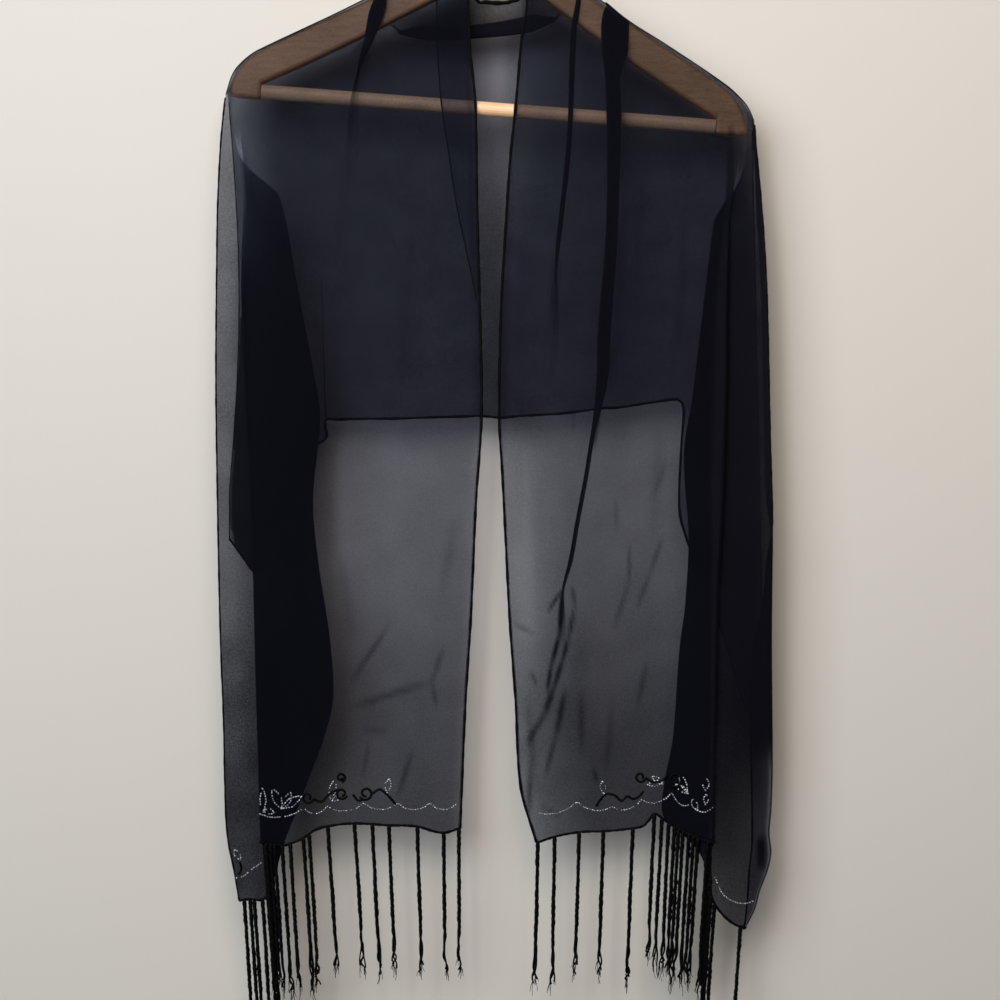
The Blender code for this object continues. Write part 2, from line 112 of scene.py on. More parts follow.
# Camera: straight on to the hanging cloth, 70 mm lens, frame 1000 steps wide.
cameraSettings = {"lens": 70.0, "sensor": 36.0, "frameSteps": 1000, "centre": (500, 500)}
cameraData = bpy.data.cameras.new("camera")
cameraData.lens = cameraSettings["lens"]
cameraData.sensor_width = cameraSettings["sensor"]
camera = bpy.data.objects.new("camera", cameraData)
bpy.context.scene.collection.objects.link(camera)
frameWidth = cameraSettings["frameSteps"] * step * mm
reach = frameWidth * cameraSettings["lens"] / cameraSettings["sensor"]
camera.location = place(cameraSettings["centre"][0], -sheetFace, cameraSettings["centre"][1])
camera.location.y -= reach
camera.rotation_euler = (math.radians(90), 0, 0)
bpy.context.scene.camera = camera
bpy.context.scene.view_settings.view_transform = "Standard"
bpy.context.scene.cycles.transparent_max_bounces = 24   # the cloth lies up to six layers deep
print("camera set")


# Materials
def toLinear(hexColour):
    channels = [int(hexColour[i:i + 2], 16) / 255 for i in (1, 3, 5)]
    return [c / 12.92 if c <= 0.04045 else ((c + 0.055) / 1.055) ** 2.4 for c in channels] + [1.0]


def addNode(tree, kind, settings=None, inputs=None, links=None):
    node = tree.nodes.new(kind)
    for name, value in (settings or {}).items():
        setattr(node, name, value)
    for name, value in (inputs or {}).items():
        node.inputs[name].default_value = value
    for name, socket in (links or {}).items():
        tree.links.new(socket, node.inputs[name])
    return node


def newMaterial(name):
    made = bpy.data.materials.new(name)
    made.use_nodes = True
    made.node_tree.nodes.clear()
    return made, made.node_tree


def finishTree(tree, shader):
    addNode(tree, "ShaderNodeOutputMaterial", links={"Surface": shader})


def fabricGrain(tree, spacingMm, detail=0.0):
    # noise whose cells are as wide as the given real size
    where = addNode(tree, "ShaderNodeTexCoord").outputs["Object"]
    return addNode(tree, "ShaderNodeTexNoise",
                   inputs={"Scale": 1 / (spacingMm * mm), "Detail": detail, "Roughness": 0.6},
                   links={"Vector": where}).outputs["Fac"]


def crepeChiffon(name):
    # polyester crepe chiffon, plain woven from twisted yarn: the gaps let light through, the
    # yarns are a dull blue black with a faint sheen
    made, tree = newMaterial(name)
    cover = addNode(tree, "ShaderNodeAttribute", {"attribute_name": "cover"}).outputs["Fac"]
    # yarns are 0.15 mm apart; drawn as 1.3 mm crepe grain so that it shows
    grain = fabricGrain(tree, 1.3)
    cloud = fabricGrain(tree, 26.0)      # the crepe bunches a little in patches
    uneven = addNode(tree, "ShaderNodeMath", {"operation": "MULTIPLY_ADD"},
                     {1: 0.26, 2: 0.87}, {0: grain}).outputs[0]
    patchy = addNode(tree, "ShaderNodeMath", {"operation": "MULTIPLY_ADD"},
                     {1: 0.2, 2: 0.9}, {0: cloud}).outputs[0]
    both = addNode(tree, "ShaderNodeMath", {"operation": "MULTIPLY"},
                   links={0: uneven, 1: patchy}).outputs[0]
    stopped = addNode(tree, "ShaderNodeMath", {"operation": "MULTIPLY", "use_clamp": True},
                      links={0: cover, 1: both}).outputs[0]
    yarn = addNode(tree, "ShaderNodeBsdfPrincipled",
                   inputs={"Base Color": toLinear("#0d0e17"), "Roughness": 0.8,
                           "Specular IOR Level": 0.06, "Sheen Weight": 0.025,
                           "Sheen Roughness": 0.5, "Sheen Tint": toLinear("#8f9cc8")}).outputs[0]
    gap = addNode(tree, "ShaderNodeBsdfTransparent",
                  inputs={"Color": toLinear("#f7f9ff")}).outputs[0]
    finishTree(tree, addNode(tree, "ShaderNodeMixShader",
                             links={0: stopped, 1: gap, 2: yarn}).outputs[0])
    return made


def twistedThread(name, colour, roughness, pitchMm):
    # black viscose yarn, twisted: dull, with lighter bands along the plies painted into the base colour as a
    # painted silky highlight
    made, tree = newMaterial(name)
    where = addNode(tree, "ShaderNodeTexCoord").outputs["Object"]
    plies = addNode(tree, "ShaderNodeTexWave", {"bands_direction": "DIAGONAL"},
                    {"Scale": 1 / (pitchMm * mm) / 6, "Distortion": 1.5, "Detail": 2.0},
                    {"Vector": where}).outputs["Fac"]
    # painted highlight: the ramp lightens the base colour along the ply bands
    shade = addNode(tree, "ShaderNodeValToRGB", links={"Fac": plies})
    shade.color_ramp.elements[0].color = toLinear(colour)
    shade.color_ramp.elements[1].color = toLinear("#0a0a0c")
    bump = addNode(tree, "ShaderNodeBump", inputs={"Strength": 0.5, "Distance": 0.0003},
                   links={"Height": plies}).outputs["Normal"]
    finishTree(tree, addNode(tree, "ShaderNodeBsdfPrincipled",
                             inputs={"Roughness": roughness, "Specular IOR Level": 0.06,
                                     "Sheen Weight": 0.008, "Sheen Tint": toLinear("#aab0c4")},
                             links={"Base Color": shade.outputs[0], "Normal": bump}).outputs[0])
    return made


def silverLinedGlass(name):
    # silver-lined glass seed beads: bright, cool, each with its own tint
    made, tree = newMaterial(name)
    tint = fabricGrain(tree, 2.6, 0.0)
    shade = addNode(tree, "ShaderNodeValToRGB", links={"Fac": tint})
    shade.color_ramp.elements[0].position, shade.color_ramp.elements[1].position = 0.3, 0.7
    shade.color_ramp.elements[0].color = toLinear("#6f7b96")
    shade.color_ramp.elements[1].color = toLinear("#dfe6f2")
    finishTree(tree, addNode(tree, "ShaderNodeBsdfPrincipled",
                             inputs={"Metallic": 0.55, "Roughness": 0.22, "Coat Weight": 0.6,
                                     "Coat Roughness": 0.05},
                             links={"Base Color": shade.outputs[0]}).outputs[0])
    return made


def varnishedBeech(name, stretch, darker, lighter):
    # varnished pale wood, sawn along its length: streaks of grain under a satin coat
    made, tree = newMaterial(name)
    where = addNode(tree, "ShaderNodeTexCoord").outputs["Object"]
    drawn = addNode(tree, "ShaderNodeMapping", {"vector_type": "TEXTURE"},
                    {"Scale": stretch}, {"Vector": where}).outputs[0]
    # growth streaks about 2.5 mm wide
    streaks = addNode(tree, "ShaderNodeTexNoise",
                      inputs={"Scale": 400.0, "Detail": 5.0, "Roughness": 0.6, "Distortion": 0.4},
                      links={"Vector": drawn}).outputs["Fac"]
    shade = addNode(tree, "ShaderNodeValToRGB", links={"Fac": streaks})
    shade.color_ramp.elements[0].position, shade.color_ramp.elements[1].position = 0.32, 0.68
    shade.color_ramp.elements[0].color = toLinear(darker)
    shade.color_ramp.elements[1].color = toLinear(lighter)
    gloss = addNode(tree, "ShaderNodeMapRange", inputs={"To Min": 0.36, "To Max": 0.5},
                    links={"Value": streaks}).outputs[0]
    bump = addNode(tree, "ShaderNodeBump", inputs={"Strength": 0.12, "Distance": 0.0003},
                   links={"Height": streaks}).outputs["Normal"]
    finishTree(tree, addNode(tree, "ShaderNodeBsdfPrincipled",
                             inputs={"Coat Weight": 0.25, "Coat Roughness": 0.25},
                             links={"Base Color": shade.outputs[0], "Roughness": gloss,
                                    "Normal": bump}).outputs[0])
    return made


def chromedWire(name):
    # chrome plated steel wire, drawn: mirror bright with faint lengthwise drawing marks
    made, tree = newMaterial(name)
    marks = fabricGrain(tree, 0.8, 3.0)
    rough = addNode(tree, "ShaderNodeMapRange", inputs={"To Min": 0.1, "To Max": 0.24},
                    links={"Value": marks}).outputs[0]
    finishTree(tree, addNode(tree, "ShaderNodeBsdfPrincipled",
                             inputs={"Base Color": toLinear("#dcdde0"), "Metallic": 1.0},
                             links={"Roughness": rough}).outputs[0])
    return made


chiffon = crepeChiffon("crepe_chiffon")
rolledThread = twistedThread("rolled_chiffon_hem", "#040405", 0.62, 1.2)
tasselThread = twistedThread("twisted_viscose_yarn", "#030304", 0.5, 1.8)
cordThread = twistedThread("braided_black_cord", "#030304", 0.45, 1.0)
beadGlass = silverLinedGlass("silver_lined_glass")
armWood = varnishedBeech("varnished_beech_board", (6.0, 1.0, 1.0), "#c88e58", "#e0ae7c")
# the dowel is the same beech as the board, painted much lighter: painted light for the stronger light that
# falls on the bar
barWoodPaintedLight = varnishedBeech("varnished_beech_dowel_painted_light", (9.0, 1.0, 1.0), "#fdc896", "#ffdab8")
hookSteel = chromedWire("chromed_steel_wire")
print("materials made")


# Stage: a pale wall just behind, seen from the front only, and a pale floor.
stageSettings = {"wallBehind": 0.040, "wallSize": (9.0, 6.0), "wallTone": "#e1dfdb",
                 "floorBelow": -1.45, "floorSize": 9.0, "floorTone": "#4d4842"}


def plainPaint(name, tone, oneSided):
    # matt emulsion paint: no gloss, a barely uneven roller texture
    made, tree = newMaterial(name)
    roller = fabricGrain(tree, 40.0, 3.0)
    shade = addNode(tree, "ShaderNodeMix", {"data_type": "RGBA"},
                    {6: toLinear(tone), 7: toLinear("#d9d7d2")})
    amount = addNode(tree, "ShaderNodeMath", {"operation": "MULTIPLY"}, {1: 0.16}, {0: roller})
    tree.links.new(amount.outputs[0], shade.inputs[0])
    paint = addNode(tree, "ShaderNodeBsdfDiffuse", links={"Color": shade.outputs[2]}).outputs[0]
    if oneSided:
        behind = addNode(tree, "ShaderNodeNewGeometry").outputs["Backfacing"]
        clear = addNode(tree, "ShaderNodeBsdfTransparent").outputs[0]
        paint = addNode(tree, "ShaderNodeMixShader", links={0: behind, 1: paint, 2: clear}).outputs[0]
    finishTree(tree, paint)
    return made


def flatPanel(name, centre, width, height, upright, look):
    w, h = width / 2, height / 2
    corners = [(-w, -h), (w, -h), (w, h), (-w, h)]
    spread = [(x, 0, z) if upright else (x, z, 0) for x, z in corners]
    newPiece(name, [Vector(p) + Vector(centre) for p in spread], [(0, 1, 2, 3)], look)


flatPanel("wall", (0, stageSettings["wallBehind"], -0.2), *stageSettings["wallSize"], True,
          plainPaint("matt_wall_paint", stageSettings["wallTone"], True))
flatPanel("floor", (0, 0, stageSettings["floorBelow"]), stageSettings["floorSize"],
          stageSettings["floorSize"], False,
          plainPaint("matt_floor_paint", stageSettings["floorTone"], False))

# Light: one broad soft window from the left of the viewer, a weaker warm lamp in front and
# a dim room.
lightSettings = {
    "window": {"from": (-1.44, -2.2, 0.43), "at": (0.0, 0.0, 0.3), "size": 1.9, "watts": 52,
               "tone": "#f3fbff"},
    "lamp": {"from": (0.0, -1.57, 0.5), "at": (0.65, 0.0, -0.35), "size": 1.2, "watts": 22,
             "tone": "#fff1e4"},
    "room": ("#ffe8c8", 0.055),
}
for lampName in ("window", "lamp"):
    lamp = lightSettings[lampName]
    data = bpy.data.lights.new(lampName, "AREA")
    data.shape, data.size, data.energy = "SQUARE", lamp["size"], lamp["watts"]
    data.color = toLinear(lamp["tone"])[:3]
    light = bpy.data.objects.new(lampName, data)
    bpy.context.scene.collection.objects.link(light)
    light.location = lamp["from"]
    aim = Vector(lamp["at"]) - Vector(lamp["from"])
    light.rotation_euler = aim.to_track_quat("-Z", "Y").to_euler()
room = bpy.data.worlds.new("pale_room")
room.use_nodes = True
roomLight = room.node_tree.nodes["Background"].inputs
roomLight["Color"].default_value = toLinear(lightSettings["room"][0])
roomLight["Strength"].default_value = lightSettings["room"][1]
bpy.context.scene.world = room
print("stage and light set")


# Front stretches: edges and folds as down, across, in steps of the front view.
ridgeLeft = [(225.5, 93), (230, 78), (236, 67), (251.5, 53), (271, 43), (299, 30),
             (364, 0), (420, -26), (468, -47)]
ridgeRight = [(527, -46), (575, -16), (601, 0), (627, 19.5), (668.6, 45.5),
              (727, 84.6), (743, 99.5), (749.5, 108.5), (754.5, 120)]
leftSide = {
    "out": -1, "tip": 93,
    "inner": [(-47, 468), (0, 468), (50, 470), (100, 475), (210, 477), (310, 479.7),
              (414, 481.4), (502, 475.7), (620, 470.4), (700, 465.3), (826, 460)],
    "fold": [(60, 238), (93, 242), (118, 246), (160, 245), (212, 244), (288, 242),
             (400, 246.6), (502, 252), (620, 255), (700, 257), (841, 261)],
    "under": [(110, 250), (150, 258), (200, 281), (300, 300), (380, 315), (418, 320),
              (500, 313), (560, 318), (641, 330), (700, 333), (744, 322), (772, 311),
              (810, 297), (843, 284), (893, 270)],
    "outer": [(93, 225.5), (139, 221), (195, 218), (238, 217), (380, 216), (518, 218.4),
              (642, 221.4), (723, 224.5), (800, 226), (839, 228.5), (869, 234.5), (900, 239.5)],
    "hem": [(261, 841), (288, 845), (304, 839), (314, 830), (326, 826), (353, 823),
            (388, 825), (416, 826), (443, 833), (462, 828)],
    "foot": (841, 893, 895), "tail": [(0, 895), (0.2, 900), (0.65, 899), (1, 900)],
    "lapel": None,
    # the inner border turns in behind itself near the neck: down, how wide
    "turnIn": [(-47, 30), (60, 33), (100, 34), (150, 28), (200, 21), (250, 12), (300, 3), (330, 2)],
    "cover": [(-50, 0.35), (510, 0.35), (600, 0.365), (720, 0.43), (840, 0.45), (940, 0.45)],
    "band": None,
    # how much more light the outer border stops: down, cover
    "strip": [(93, 0.09), (250, 0.12), (400, 0.17), (560, 0.17), (700, 0.24), (800, 0.27),
              (900, 0.27)],
}
rightSide = {
    "out": 1, "tip": 120,
    "inner": [(-46, 527), (5, 527), (38, 522), (100, 516.4), (160, 510.4), (235, 505.4),
              (309, 501.3), (415, 499.3), (472, 502.5), (533, 505.6), (620, 510),
              (700, 515.8), (787, 521), (841, 536.4)],
    "fold": [(95, 741), (118, 736), (140, 734), (200, 731), (300, 728), (380, 727),
             (480, 724), (560, 719), (650, 716), (760, 714), (840, 713)],
    "under": [(140, 728), (200, 716), (300, 704), (400, 692), (452, 684), (538, 688),
              (603, 685), (647, 679.5), (740, 672.5), (785, 664), (818, 664), (838, 687),
              (852, 699), (872, 706), (893, 708)],
    "outer": [(120, 754.5), (145, 756), (184, 759.7), (238, 764), (300, 767), (434, 769.7),
              (518, 772), (640, 771.5), (765, 772.7), (808, 771.6), (834, 769.5),
              (852, 771.6), (869, 768.4), (891, 759.7), (908, 755), (927, 745)],
    "lapel": [(540, 768), (600, 763), (650, 753), (690, 750), (840, 752), (870, 749),
              (900, 747), (928, 744)],
    "hem": [(536.4, 841), (556, 835.5), (580, 832), (604, 831), (632, 828),
            (650, 825), (662, 819), (672, 812.5), (677, 819), (684, 829), (699, 837), (714, 840)],
    "foot": (840, 893, 893),
    "tail": [(0, 896), (0.2, 909), (0.45, 918), (0.75, 924), (1, 926)],
    "turnIn": [(0, 2), (900, 2)],
    "cover": [(-50, 0.37), (510, 0.375), (600, 0.40), (660, 0.45), (720, 0.50), (940, 0.50)],
    # the gathered cloth beside the outer fold: down, centre, half width, cover
    "band": [(120, 731, 3, 0), (160, 730, 3.5, 0.35), (228, 727, 5, 0.5), (296, 722, 7, 0.6),
             (400, 719.5, 7.5, 0.62), (475, 717, 7.5, 0.62), (550, 715, 5, 0.62),
             (625, 713.5, 4, 0.62), (700, 712.5, 3.5, 0.6), (840, 711, 3.5, 0.6)],
    "strip": [(120, 0.1), (160, 0.24), (300, 0.38), (600, 0.36), (700, 0.3), (770, 0.12),
              (850, 0.03), (900, 0.03)],
}

# Pleats: down, outer edge, inner edge, how far it is closed.
pleatShoulder = [(-20, 373, 391, 0.8), (0, 371, 389, 0.8), (17, 368, 383, 1),
                 (41, 364, 374, 1), (66, 357, 363, 0.8), (120, 351, 356, 0.25),
                 (190, 350, 354, 0)]
pleatLong = [(-20, 584, 577, 0.8), (0, 582, 575, 0.8), (29, 577, 571, 1), (66, 575, 569, 1),
             (114, 573, 568, 1), (160, 570, 565, 1), (214, 564, 559, 1), (255, 560, 554, 0.8),
             (309, 557, 550, 0.35), (364, 554, 547, 0.08), (430, 548, 542, 0), (620, 537, 531, 0),
             (780, 541, 535, 0), (841, 556, 550, 0)]
pleatWide = [(-20, 634, 608, 0.8), (0, 631, 604, 0.8), (27, 629, 601, 1), (55, 627, 602, 1),
             (77, 620, 605, 1), (110, 621, 606, 1), (160, 620, 607, 1), (242, 617, 605, 1),
             (324, 611, 598, 1), (378, 608, 596, 1), (405, 602, 594, 1), (440, 593.5, 589.5, 1),
             (475, 588, 584, 1), (520, 579.5, 575.5, 1), (560, 572.5, 568.5, 1),
             (590, 565, 560.5, 0.75), (625, 563, 558.5, 0.3), (660, 563, 558.5, 0),
             (720, 568, 562, 0), (841, 584, 578, 0)]

# Creases on the front panels: from, to, half width, depth in millimetres
# (towards the viewer), how much more light they stop (painted crease shade, partly bunched cloth).
creases = [
    (390, 624, 352, 680, 4, 1.2, 0.16), (351, 707, 429, 682, 5, 1.4, 0.18),
    (443, 648, 432, 682, 4, 1.0, 0.14), (432, 682, 437, 707, 3, 0.9, 0.14),
    (363, 731, 388, 732, 3, 0.9, 0.14), (369, 742, 363, 776, 3, 1.0, 0.12),
    (412, 752, 398, 795, 4, 1.2, 0.16), (340, 560, 352, 640, 9, 1.6, 0.08),
    (455, 520, 441, 600, 8, 1.3, 0.07), (300, 250, 296, 330, 8, 1.4, 0.06),
    (410, 230, 402, 380, 10, 1.6, 0.05), (345, 160, 338, 260, 8, 1.3, 0.04),
    (270, 216, 274, 300, 7, 0.6, 0.16), (246, 150, 262, 250, 5, 0.6, 0.12),
    (666, 462, 652, 498, 3.5, 1.0, 0.10), (662, 536, 649, 575, 3, 1.2, 0.16),
    (649, 575, 637, 606, 3, 1.2, 0.16), (629, 545, 628, 583, 2.5, 1.2, 0.18),
    (628, 583, 613, 628, 3.5, 1.2, 0.14), (615, 500, 616, 532, 3, 0.9, 0.10),
    (600, 400, 593, 448, 2.5, 0.6, 0.34), (574, 408, 573, 432, 2, 0.6, 0.12),
    (562, 590, 548, 611, 2.2, 1.2, 0.40), (562, 592, 559.5, 634, 2.6, 1.4, 0.55),
    (559.5, 634, 551.5, 664, 3, 1.4, 0.5), (551.5, 664, 547, 690, 3, 1.3, 0.4),
    (572.5, 586, 574, 607, 2.2, 1.0, 0.3), (574, 607, 568.5, 637, 2.4, 1.2, 0.36),
    (568.5, 637, 562, 661, 2.6, 1.2, 0.4), (562, 661, 554, 686, 3.2, 1.3, 0.45),
    (554, 686, 545, 712, 4, 1.3, 0.4), (545, 712, 528, 742, 4, 1.1, 0.28),
    (565, 690, 556, 735, 4, 1.1, 0.3), (556, 735, 545, 775, 3.5, 1.0, 0.22),
    (512, 621, 533, 634, 3, 1.2, 0.14), (531, 672, 537, 685, 2.4, 1.0, 0.18),
    (581, 690, 581, 755, 4, 1.2, 0.14), (646, 664, 637, 705, 4, 1.2, 0.14),
    (593, 768, 597, 782, 3, 0.9, 0.18), (612, 700, 606, 770, 5, 1.0, 0.10),
    (640, 180, 634, 330, 9, 1.5, 0.05), (684, 210, 676, 360, 9, 1.5, 0.05),
    (660, 430, 652, 540, 8, 1.3, 0.05), (530, 760, 529, 815, 4, 1.2, 0.2),
    (540, 805, 560, 815, 3, 1.1, 0.12), (527, 700, 536, 790, 6, 1.1, 0.12),
    (624, 30, 622, 110, 9, 0.6, 0.16), (622, 110, 622, 200, 9, 0.6, 0.16),
    (622, 200, 615, 330, 10, 0.6, 0.18), (615, 330, 608, 395, 9, 0.6, 0.18),
    (556, 255, 552, 310, 7, 0.8, 0.16), (364, 41, 357, 66, 3, 0.9, 0.4),
    (357, 66, 351, 81, 2.4, 0.8, 0.4), (465, 20, 470, 110, 4, 0.4, 0.14),
    (470, 110, 474, 300, 4, 0.4, 0.14),
    # painted light: stretches made sheerer so that they read brighter
    (524, 440, 529, 660, 13, 0.0, -0.09), (343, 440, 345, 640, 14, 0.0, -0.07),
    (400, 440, 402, 520, 26, 0.0, -0.02),
]


def sway(across, down):
    # shared slow waves of the hanging cloth, in millimetres of depth
    strength = 5.0 * ease((down - 170) / 420)
    broad = math.sin(across / 27 + down / 260)
    fine = math.sin(across / 15.5 - down / 190)
    return strength * (0.65 * broad + 0.35 * fine)


def creaseAt(across, down):
    # how far the creases lift this spot, and how much more light they stop there: painted crease shade,
    # partly bunched cloth
    lift, dark = 0.0, 0.0
    for a0, d0, a1, d1, wide, deep, shade in creases:
        if not min(d0, d1) - 3 * wide < down < max(d0, d1) + 3 * wide:
            continue
        if not min(a0, a1) - 3 * wide < across < max(a0, a1) + 3 * wide:
            continue
        runA, runD = a1 - a0, d1 - d0
        share = ((across - a0) * runA + (down - d0) * runD) / (runA ** 2 + runD ** 2)
        inside = min(1.0, max(0.0, share))
        away = math.hypot(across - a0 - inside * runA, down - d0 - inside * runD)
        wane = 1 - 0.75 * abs(2 * inside - 1) ** 2
        lift += deep * wane * math.exp(-(away / wide) ** 2)
        dark += shade * wane * math.exp(-(away / (0.7 * wide)) ** 2)
    return lift, dark


def foldPath(turn, run, curls):
    # forward and rise of an opening fold: it curls, runs straight and may curl back
    turn = min(math.pi, max(turn, 0.001))
    radius = bendRadius * math.pi / turn
    path = [(radius * math.sin(turn * n / curlSteps), radius * (1 - math.cos(turn * n / curlSteps)))
            for n in range(curlSteps + 1)]
    forward, rise = path[-1]
    forward += run * math.cos(turn)
    rise += run * math.sin(turn)
    if curls == 1:
        return path + [(forward, rise)]
    for n in range(curlSteps + 1):
        left = turn * (1 - n / curlSteps)
        path.append((forward + radius * (math.sin(turn) - math.sin(left)),
                     rise + radius * (math.cos(left) - math.cos(turn))))
    return path


def pleatPoints(table, out, base):
    def pointAt(i):
        def point(down):
            outer, inner = read(table, down), read(table, down, 2)
            run = max(0.8, out * (outer - inner) * step - 2 * bendRadius)
            closed = read(table, down, 3)
            path = foldPath(math.pi * closed, run, 2)
            forward = path[i][0] - path[-1][0] / 2
            drawn = 0.18 if i <= curlSteps else 0.5
            drawn = 0 if i in (0, foldPoints - 1) else drawn * min(1.0, max(0.0, closed))
            return (outer + inner) / 2 + out * forward / step, base + path[i][1], drawn
        return point

    return [pointAt(i) for i in range(foldPoints)]


def sideClosed(side, down):
    return ease((down - side["tip"] - 10) / 95)


def sidePath(side, down):
    closed = sideClosed(side, down)
    width = side["out"] * (read(side["fold"], down) - read(side["under"], down))
    run = mix(0.8, max(0.8, width * step - 2 * bendRadius), closed ** 3)
    return foldPath(math.pi * closed, run, 2)


def lapelPath(side, down):
    # the outer border's turned-in fold; flat where there is none
    if not side["lapel"]:
        return [(0.0, 0.0)] * (curlSteps + 2)
    width = read(side["outer"], down) - read(side["lapel"], down)
    run = max(0.8, width * step - bendRadius)
    return foldPath(math.pi * ease((down - 470) / 110), run, 1)


def sidePoints(side):
    def pointAt(i):
        def point(down):
            closed = sideClosed(side, down)
            path = sidePath(side, down)
            start = mix(side["fold"][0][1],
                        read(side["fold"], down) - side["out"] * bendRadius / step, closed)
            forward = path[i][0] * mix(0.5, 1.0, closed)
            depth = path[-1][1] - path[i][1] + lapelPath(side, down)[-1][1]
            drawn = 0 if i in (0, foldPoints - 1) else 0.3 * closed
            return start + side["out"] * forward / step, depth, drawn
        return point

    return [pointAt(i) for i in range(foldPoints)]


def lapelPoints(side):
    def pointAt(i):
        def point(down):
            path = lapelPath(side, down)
            tight = mix(0.4, 1.0, ease((down - side["tip"]) / 120))
            furthest = max(forward for forward, _ in path)
            forward = (path[i][0] - furthest) * tight
            across = read(side["outer"], down) + side["out"] * forward / step
            return across, path[-1][1] - path[i][1], 0 if i == 0 else 0.06
        return point

    return [pointAt(i) for i in range(curlSteps + 2)]


def coverPoint(side):
    # where the front panel must already lie clear of the folds behind it
    def point(down):
        depth = sidePath(side, down)[-1][1] + lapelPath(side, down)[-1][1]
        return read(side["under"], down) - side["out"] * 7, depth, 0.0

    return point


def innerPoints(side):
    # the inner border, turned in behind the panel's edge
    def hidden(down):
        width = read(side["turnIn"], down)
        return read(side["inner"], down) + side["out"] * width, -0.7, 0.0

    def edge(lift):
        return lambda down: (read(side["inner"], down) - side["out"] * 0.3 * (1 - abs(lift)),
                             -0.35 + 0.35 * lift, 0.25 * (1 - abs(lift)))

    return [hidden, edge(-1), edge(0), edge(1)]


def outerPoint(side):
    return lambda down: (read(side["outer"], down), 0.0, 0.03)


def columnLines(counts):
    lines = []
    for k, count in enumerate(counts):
        lines += [(k, n / count) for n in range(count)]
    return lines + [(len(counts) - 1, 1.0)]


# Draping: rows down the cloth, the level at which the hem's line is read, how the layers
# start close together over the arm, and what share of their cover the folds keep.
drapeSettings = {"rows": 200, "wrapSteps": 6, "hemLevel": 832, "armLift": 0.5, "armStack": 0.1,
                 "spread": 40, "tuckedCover": 0.8, "ridgeCover": 0.75, "turnInShare": 0.35,
                 "foldSheer": 0.95, "foldFrom": 60, "foldOver": 200, "turnedEdge": 0.4}
# the lapel turns sheer towards its foot, but for one bunched patch
lapelFoot = {"share": 0.25, "from": 730, "over": 45, "patch": (761.5, 853), "half": (4.5, 16),
             "patchShare": 1.2}


def coverAt(side, sideStart, k, across, down, gather, dark):
    # how much of the light one spot of a front stretch stops
    if 2 < k < sideStart and side["band"]:
        centre, wide, shade = (read(side["band"], down, i) for i in (1, 2, 3))
        dark += shade * math.exp(-((across - centre) / wide) ** 4)
    if k >= sideStart + foldPoints - 1:
        dark += read(side["strip"], down)
    woven, share, turned = read(side["cover"], down), 1.0, 0.0
    if k < 2:                                        # the turned-in border lies smooth and sheer
        woven *= drapeSettings["turnInShare"]
    if sideStart <= k < sideStart + foldPoints - 1:  # the side fold starts sheer
        below = down - side["tip"] - drapeSettings["foldFrom"]
        share -= drapeSettings["foldSheer"] * ease(sideClosed(side, down) / 0.7) \
            * (1 - ease(below / drapeSettings["foldOver"]))
    if side["lapel"] and k >= sideStart + foldPoints:
        patchAcross, patchDown = lapelFoot["patch"]
        halfAcross, halfDown = lapelFoot["half"]
        share = mix(1.0, lapelFoot["share"], ease((down - lapelFoot["from"]) / lapelFoot["over"]))
        share += lapelFoot["patchShare"] * math.exp(
            -((across - patchAcross) / halfAcross) ** 4 - ((down - patchDown) / halfDown) ** 4)
    # the lapel's turned edge stops more light: doubled cloth, with painted shade along the fold
    if side["lapel"] and 0 < k - sideStart - foldPoints < curlSteps:
        turned = drapeSettings["turnedEdge"]
    return min(1.0, (woven + gather + dark) * share + turned)


def frontStretch(points, counts, ridge, side, sideStart):
    # rows of points from the arm's top edge down to the hem, with their cover
    hangRows, wrapSteps = drapeSettings["rows"], drapeSettings["wrapSteps"]
    flat = boardThick / 2 - boardEdge

    def spot(line, down):
        k, share = line
        here, there = points[k](down), points[k + 1](down)
        return [mix(here[i], there[i], share) for i in range(3)]

    def hemAt(line):
        k, share = line
        if k < sideStart:
            return read(side["hem"], spot(line, drapeSettings["hemLevel"])[0])
        s = k - sideStart + share
        high, low, last = side["foot"]
        if s <= curlSteps:
            return high
        if s <= curlSteps + 1:
            return mix(high, low, s - curlSteps)
        if s <= 2 * curlSteps + 1:
            return mix(low, last, (s - curlSteps - 1) / curlSteps)
        if k == sideStart + foldPoints - 1:
            return read(side["tail"], share)
        return side["tail"][-1][1] + 2 * (s - foldPoints) / (curlSteps + 1)

    columns, covers = [], []
    for line in columnLines(counts):
        top = read(ridge, spot(line, 0)[0])
        for _ in range(6):
            top = read(ridge, spot(line, top)[0])
        across, depth, gather = spot(line, top)
        lift = drapeSettings["armLift"] + drapeSettings["armStack"] * depth
        column = [place(across, -0.15, top - lift / step), place(across, -flat, top - lift / step)]
        cover = [drapeSettings["tuckedCover"]] * 2
        for n in range(1, wrapSteps + 1):
            turn = math.radians(90 * n / wrapSteps)
            radius = boardEdge + lift
            column.append(place(across, -flat - radius * math.sin(turn),
                                top - (radius * math.cos(turn) - boardEdge) / step))
            cover.append(mix(drapeSettings["ridgeCover"], read(side["cover"], top), n / wrapSteps))
        start, hem = top + boardEdge / step, hemAt(line)
        for row in range(1, hangRows + 1):
            down = mix(start, hem, (row / hangRows) ** 1.2)
            across, depth, gather = spot(line, down)
            crease, dark = creaseAt(across, down) if 2 < line[0] < sideStart else (0.0, 0.0)
            spread = ease((down - start) / drapeSettings["spread"])
            layer = mix(lift, clearance + depth, spread)
            column.append(place(across, sway(across, down) - boardThick / 2 - layer - crease, down))
            cover.append(coverAt(side, sideStart, line[0], across, down, gather, dark))
        columns.append(column)
        covers.append(cover)
    return columns, covers


clothSettings = {"thick": 0.3}


